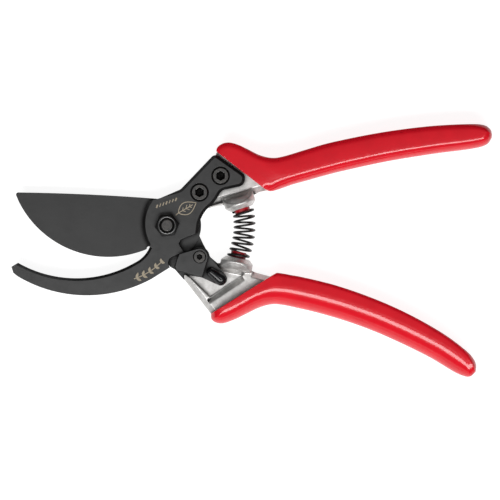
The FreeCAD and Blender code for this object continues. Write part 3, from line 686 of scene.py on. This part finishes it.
# The hexagon's rings: (how far inside the hexagon, level at the flats, fall towards the corners)
NUT_SIDES = [(0.0, NUT_FOOT, 0.0), (0.0, NUT_FOOT + 0.1, 0.0), (0.0, 14.9, 0.6), (0.03, 14.97, 0.6),
             (0.1, 15.02, 0.55)]
# The nut's collar, as (radius, level) from the shoulder inwards and down the bore
NUT_COLLAR = [(4.72, 15.28), (4.42, 15.34), (4.30, 15.45), (4.25, 15.9), (4.22, 16.3), (4.12, 16.56),
              (3.95, 16.71), (3.75, 16.74), (3.58, 16.66), (3.50, 16.45), (3.42, 16.2), (3.2, 16.05),
              (3.03, 16.0), (3.02, 15.7), (3.02, 11.95)]


def stack(name, slot, rings, closed=True):
    """A mesh through rings of points; closed joins the last ring to the first."""
    count = len(rings[0])
    faces = []
    for k in range(len(rings) if closed else len(rings) - 1):
        after = (k + 1) % len(rings)
        for i in range(count):
            j = (i + 1) % count
            faces.append((k * count + i, k * count + j, after * count + j, after * count + i))
    if not closed:
        faces.append(tuple(range(count)))
        faces.append(tuple(range((len(rings) - 1) * count, len(rings) * count)))
    return piece(name, slot, [p for ring in rings for p in ring], faces)


def lock_nut():
    """Hexagon with chamfered corners, and a rolled collar round the bolt's end."""
    angles = [math.radians(NUT_TURN) + math.tau * k / NUT_STEPS for k in range(NUT_STEPS)]
    off_flat = [(math.degrees(a) - NUT_TURN + 30) % 60 - 30 for a in angles]
    reach = [NUT_FLAT_R / math.cos(math.radians(turn)) for turn in off_flat]
    rings = [[((r - inside) * math.cos(a), (r - inside) * math.sin(a), level - (r - NUT_FLAT_R) * fall)
              for a, r in zip(angles, reach)] for inside, level, fall in NUT_SIDES]
    rings += [[(r * math.cos(a), r * math.sin(a), z) for a in angles] for r, z in NUT_COLLAR]
    nut = stack("lock_nut", "pivot_steel", rings)
    dress(nut, NUT_LOOK)
    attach(nut, HOOK_BODY)
    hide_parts("pivot_nut")


KNOB_ENDS = ((20.15, -21.3, 2.15), (24.62, -24.6, 3.02))   # (x, y, radius) of its two round ends
KNOB_BACK, KNOB_FRONT, KNOB_SHOULDER = 8.8, 15.4, 12.4       # levels
KNOB_CHAMFER = 0.25       # height of its back edge's chamfer
KNOB_FOOT = 0.9           # the back face against the outline
KNOB_STEPS = 96           # points round it
DOME_RINGS, DOME_STEP = 15, 6       # rings of the dome, and degrees between them


def thumb_knob():
    """A smooth dome over a tapered outline."""
    (x0, y0, r0), (x1, y1, r1) = KNOB_ENDS
    heading = math.atan2(y1 - y0, x1 - x0)
    slant = math.acos((r0 - r1) / math.hypot(x1 - x0, y1 - y0))
    outline, spine = [], []
    for k in range(KNOB_STEPS):
        turn = -math.pi + math.tau * k / KNOB_STEPS
        at_far = abs(turn) < slant
        x, y, r = (x1, y1, r1) if at_far else (x0, y0, r0)
        outline.append((x + r * math.cos(heading + turn), y + r * math.sin(heading + turn)))
        spine.append((x, y))

    def ring(share, level):
        """The outline drawn in towards the spine."""
        return [(sx + (x - sx) * share, sy + (y - sy) * share, level)
                for (x, y), (sx, sy) in zip(outline, spine)]

    rings = [ring(KNOB_FOOT, KNOB_BACK), ring(1.0, KNOB_BACK + KNOB_CHAMFER)]
    for k in range(DOME_RINGS):
        share = math.sin(math.radians(90 - DOME_STEP * k))
        rings.append(ring(share, KNOB_SHOULDER + (KNOB_FRONT - KNOB_SHOULDER) * (1 - share ** 2) ** 0.5))
    knob = stack("thumb_knob", "knob_plastic", rings, closed=False)
    knob.modifiers.new("fine", "SUBSURF").levels = 1
    bake_modifiers(knob)
    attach(knob, LATCH_BODY)
    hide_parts("latch_knob")


lock_nut()
thumb_knob()

# ---------------------------------------------------------------- marks on the plate

plate_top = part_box("hook_plate")[1].z / MM
MARK_HEIGHT = 0.03
MARK_STEP = 0.0005        # crossing strokes never share a plane
OUTLINE_WIDTH, VEIN_WIDTH, STEM_WIDTH = 0.38, 0.3, 0.42
EMBLEM = (5.2, 5.7, 30.0, 9.4, 5.6)     # its leaf: foot (x, y), heading in degrees, length and width
EMBLEM_RIB = ((-1.6, -0.25), (0, 0), (7.6, 0))    # the midrib, along and across the leaf
EMBLEM_VEINS = (2.2, 4.0, 5.8)          # where the pairs of veins leave it
WIDEST, VEIN_REACH, VEIN_FALL = 3.6, 1.7, 0.25    # the longest veins' place and length, and the rest's fall
VEIN_ALONG, VEIN_ACROSS = 0.75, 0.8     # how far a vein goes along and across the leaf, in its length
LEAF_STEPS = 13
LEAF_BELLY = 0.85                       # below 1 it is widest nearer to its foot
SPRIG_STEM = [(-15.2, -24.6), (-10.6, -22.7), (-6.0, -19.8), (-1.9, -16.2)]
SPRIG_STEPS, SPRIG_GAP = 15, 3          # points along the stem, and between pairs of leaves
SPRIG_SPREAD = 48                       # degrees between the stem and a leaf
SPRIG_LEAF, SPRIG_LEAF_WIDTH, SPRIG_TAPER = 2.9, 1.15, 0.08    # a leaf's size, and its loss a step
TALLY_BARS = 7
TALLY_FIRST, TALLY_STRIDE = (-4.6, 8.75), (1.45, 0.53)    # middle of the first bar, and the way to the next
TALLY_LEAN = (0.28, 0.75)               # from a bar's middle to its upper end
TALLY_WIDTHS = (0.62, 0.42, 0.42)       # widths of the bars, in turn


def mark(name, shapes):
    """Flat laser marks: each shape is a closed list of (x, y) in mm."""
    vertices, faces = [], []
    for rank, shape in enumerate(shapes):
        first, count = len(vertices), len(shape)
        top = plate_top + MARK_HEIGHT + rank * MARK_STEP
        vertices += [(x, y, top) for x, y in shape]
        vertices += [(x, y, plate_top - MARK_HEIGHT) for x, y in shape]
        faces.append(tuple(range(first, first + count)))
        faces.append(tuple(range(first + count, first + 2 * count))[::-1])
        for i in range(count):
            j = (i + 1) % count
            faces.append((first + i, first + j, first + count + j, first + count + i))
    made = piece(name, "coated_steel", vertices, faces, smooth=False)
    dress(made, MARK_LOOK)
    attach(made, HOOK_BODY)


def placed(points, x, y, angle):
    """Points given along and across a heading in degrees, from a foot at (x, y)."""
    turn = math.radians(angle)
    return [(x + u * math.cos(turn) - v * math.sin(turn), y + u * math.sin(turn) + v * math.cos(turn))
            for u, v in points]


def leaf_shape(x, y, angle, length, width):
    """A pointed leaf: two arcs from its foot at (x, y) to its tip."""
    steps = np.linspace(0, 1, LEAF_STEPS)
    side = width / 2 * np.sin(math.pi * steps ** LEAF_BELLY)
    outline = [(s * length, w) for s, w in zip(steps, side)]
    outline += [(s * length, -w) for s, w in zip(steps[-2:0:-1], side[-2:0:-1])]
    return placed(outline, x, y, angle)


def strokes(points, width, closed=False):
    """A line of even width along the points, as separate quads that share their corners."""
    points = [np.array(p, float) for p in points]
    if closed:
        points = points + points[:2]
    sides = []
    for k, point in enumerate(points):
        along = points[min(k + 1, len(points) - 1)] - points[max(k - 1, 0)]
        along = along / np.linalg.norm(along)
        across = np.array([-along[1], along[0]]) * width / 2
        sides.append((tuple(point + across), tuple(point - across)))
    return [[a[0], b[0], b[1], a[1]] for a, b in zip(sides, sides[1:])]


def leaf_emblem():
    """An outlined leaf with a midrib and veins."""
    at = EMBLEM[:3]
    shapes = strokes(leaf_shape(*EMBLEM), OUTLINE_WIDTH, closed=True)
    shapes += strokes(placed(EMBLEM_RIB, *at), OUTLINE_WIDTH)
    for start in EMBLEM_VEINS:
        reach = VEIN_REACH - abs(start - WIDEST) * VEIN_FALL
        for side in (-1, 1):
            vein = [(start, 0), (start + reach * VEIN_ALONG, side * reach * VEIN_ACROSS)]
            shapes += strokes(placed(vein, *at), VEIN_WIDTH)
    return shapes


def sprig():
    """A stem with paired leaves, along the root of the hook."""
    stem = through(SPRIG_STEM, SPRIG_STEPS)
    shapes = strokes(stem, STEM_WIDTH)
    for k in range(1, SPRIG_STEPS - 1, SPRIG_GAP):
        x, y = stem[k]
        ahead = stem[k + 1] - stem[k - 1]
        heading = math.degrees(math.atan2(ahead[1], ahead[0]))
        for side in (-1, 1):
            shapes.append(leaf_shape(x, y, heading + side * SPRIG_SPREAD,
                                     SPRIG_LEAF - SPRIG_TAPER * k, SPRIG_LEAF_WIDTH))
    return shapes


def tally():
    """A short row of slanted bars above the pivot."""
    shapes, lean = [], np.array(TALLY_LEAN)
    for k in range(TALLY_BARS):
        middle = np.array(TALLY_FIRST) + np.array(TALLY_STRIDE) * k
        shapes += strokes([middle - lean, middle + lean], TALLY_WIDTHS[k % len(TALLY_WIDTHS)])
    return shapes


mark("leaf_emblem", leaf_emblem())
mark("sprig_emblem", sprig())
mark("tally_marks", tally())

# ---------------------------------------------------------------- stage, light and camera

TABLE_HALF, TABLE_DROP = 3.0, 0.0002    # metres
TABLE_DARK, TABLE_PALE = grey(0.30), grey(0.34)
GLOW = 0.9
GLOW_REACH = (150.0, 320.0)       # mm from the pivot: where the glow starts to fade for light, and is gone
OVERHEAD = [(0.0, 0.0), (0.66, 0.04), (0.78, 0.27), (1.0, 0.30)]    # (height, brightness) of the world
OVERHEAD_TILT = 1.2               # how much brighter it is towards -Y
LOW_LEVELS = [(0.0, 1.0), (0.19, 0.9), (0.28, 0.02)]                # (height, brightness) near the floor
LOW_SIDES = [(0.45, 0.0), (0.80, 1.0)]                              # (towards -Y, share)
DIMMEST = 0.012
TOOL_MIDDLE = (0.038, -0.011, 0.01)
STRIP_DISTANCE = 1.2
CAMERA_LENS, CAMERA_SENSOR = 400.0, 36.0
VIEW_WIDTH = 0.230                # how much the camera takes in at the tool's middle level
VIEW_MIDDLE, VIEW_LEVEL = (0.0381, -0.0113), 0.008


def stage_floor():
    """A plain pale table just under the tool.  It glows like a light table: everywhere to the
    camera, and for the light on the tool only near it."""
    mesh = bpy.data.meshes.new("table_top")
    corners = [(x * TABLE_HALF, y * TABLE_HALF, 0) for x, y in ((-1, -1), (1, -1), (1, 1), (-1, 1))]
    mesh.from_pydata(corners, [], [(0, 1, 2, 3)])
    floor = bpy.data.objects.new("table_top", mesh)
    floor.location.z = -TABLE_DROP
    bpy.context.scene.collection.objects.link(floor)
    g = Graph("pale_table")
    fleck = g.noise(40.0, 2.0)
    colour = g.blend(fleck, TABLE_DARK, TABLE_PALE)
    near = g.ramp(g.radius(), *GLOW_REACH, GLOW, 0.0)
    seen = g.maths("MULTIPLY", g.node("LightPath").outputs["Is Camera Ray"], GLOW)
    mesh.materials.append(g.finish(Base_Color=colour, Roughness=0.9, Emission_Color=WHITE,
                                   Emission_Strength=g.maths("MAXIMUM", near, seen)))


def studio_world():
    """Dim overhead, dark to the sides and white low on the -Y side; plain white to the camera."""
    world = bpy.data.worlds.new("studio")
    bpy.context.scene.world = world
    world.use_nodes = True
    tree = world.node_tree
    tree.nodes.clear()
    link = tree.links.new

    def maths(operation, first, second):
        made = tree.nodes.new("ShaderNodeMath")
        made.operation = operation
        for socket, value in zip(made.inputs, (first, second)):
            if isinstance(value, float):
                socket.default_value = value
            else:
                link(value, socket)
        return made.outputs[0]

    def steps(value, stops):
        """A grey ramp through (position, brightness) stops."""
        ramp = tree.nodes.new("ShaderNodeValToRGB")
        ends = ramp.color_ramp.elements
        for element, (position, level) in zip(ends, (stops[0], stops[-1])):
            element.position = position
            element.color = (*grey(level), 1)
        for position, level in stops[1:-1]:
            ends.new(position).color = (*grey(level), 1)
        link(value, ramp.inputs[0])
        return ramp.outputs[0]

    where = tree.nodes.new("ShaderNodeTexCoord")
    split = tree.nodes.new("ShaderNodeSeparateXYZ")
    link(where.outputs["Generated"], split.inputs[0])
    near = maths("MULTIPLY", split.outputs["Y"], -1.0)
    overhead = maths("MULTIPLY", steps(split.outputs["Z"], OVERHEAD),
                     maths("ADD", maths("MULTIPLY", near, OVERHEAD_TILT), 1.0))
    low = maths("MULTIPLY", steps(split.outputs["Z"], LOW_LEVELS), steps(near, LOW_SIDES))
    lit = tree.nodes.new("ShaderNodeBackground")
    link(maths("ADD", maths("ADD", overhead, low), DIMMEST), lit.inputs["Color"])
    seen = tree.nodes.new("ShaderNodeBackground")
    seen.inputs["Color"].default_value = (*WHITE, 1)
    path = tree.nodes.new("ShaderNodeLightPath")
    mix = tree.nodes.new("ShaderNodeMixShader")
    link(path.outputs["Is Camera Ray"], mix.inputs[0])
    link(lit.outputs[0], mix.inputs[1])
    link(seen.outputs[0], mix.inputs[2])
    output = tree.nodes.new("ShaderNodeOutputWorld")
    link(mix.outputs[0], output.inputs[0])


def softbox(name, at, towards, size, power):
    """An area light that the camera doesn't see."""
    light = bpy.data.lights.new(name, "AREA")
    light.shape = "RECTANGLE"
    light.size, light.size_y = size
    light.energy = power
    obj = bpy.data.objects.new(name, light)
    bpy.context.scene.collection.objects.link(obj)
    obj.location = at
    obj.rotation_euler = (Vector(towards) - Vector(at)).to_track_quat("-Z", "Y").to_euler()
    obj.visible_camera = False


def strip(name, degrees, width, length, radiance):
    """A long softbox parallel to X, tilted by degrees from straight overhead towards -Y; its width
    is the angle in degrees that it fills as seen from the tool."""
    turn = math.radians(degrees)
    aim = Vector(TOOL_MIDDLE)
    at = aim + Vector((0, -math.sin(turn), math.cos(turn))) * STRIP_DISTANCE
    size = (length, 2 * STRIP_DISTANCE * math.tan(math.radians(width / 2)))
    softbox(name, at, aim, size, radiance * math.pi * size[0] * size[1])


def studio_camera():
    """Looks straight down, from far enough to show next to no perspective."""
    camera = bpy.data.cameras.new("camera")
    camera.lens, camera.sensor_width = CAMERA_LENS, CAMERA_SENSOR
    camera.clip_end = 50.0
    obj = bpy.data.objects.new("camera", camera)
    bpy.context.scene.collection.objects.link(obj)
    obj.location = (*VIEW_MIDDLE, VIEW_LEVEL + VIEW_WIDTH * CAMERA_LENS / CAMERA_SENSOR)
    bpy.context.scene.camera = obj


stage_floor()
studio_world()
strip("key_strip", degrees=28, width=18, length=1.3, radiance=9.0)
strip("hair_strip", degrees=7, width=2.4, length=1.3, radiance=1.6)
studio_camera()
bpy.context.scene.view_settings.view_transform = "Standard"
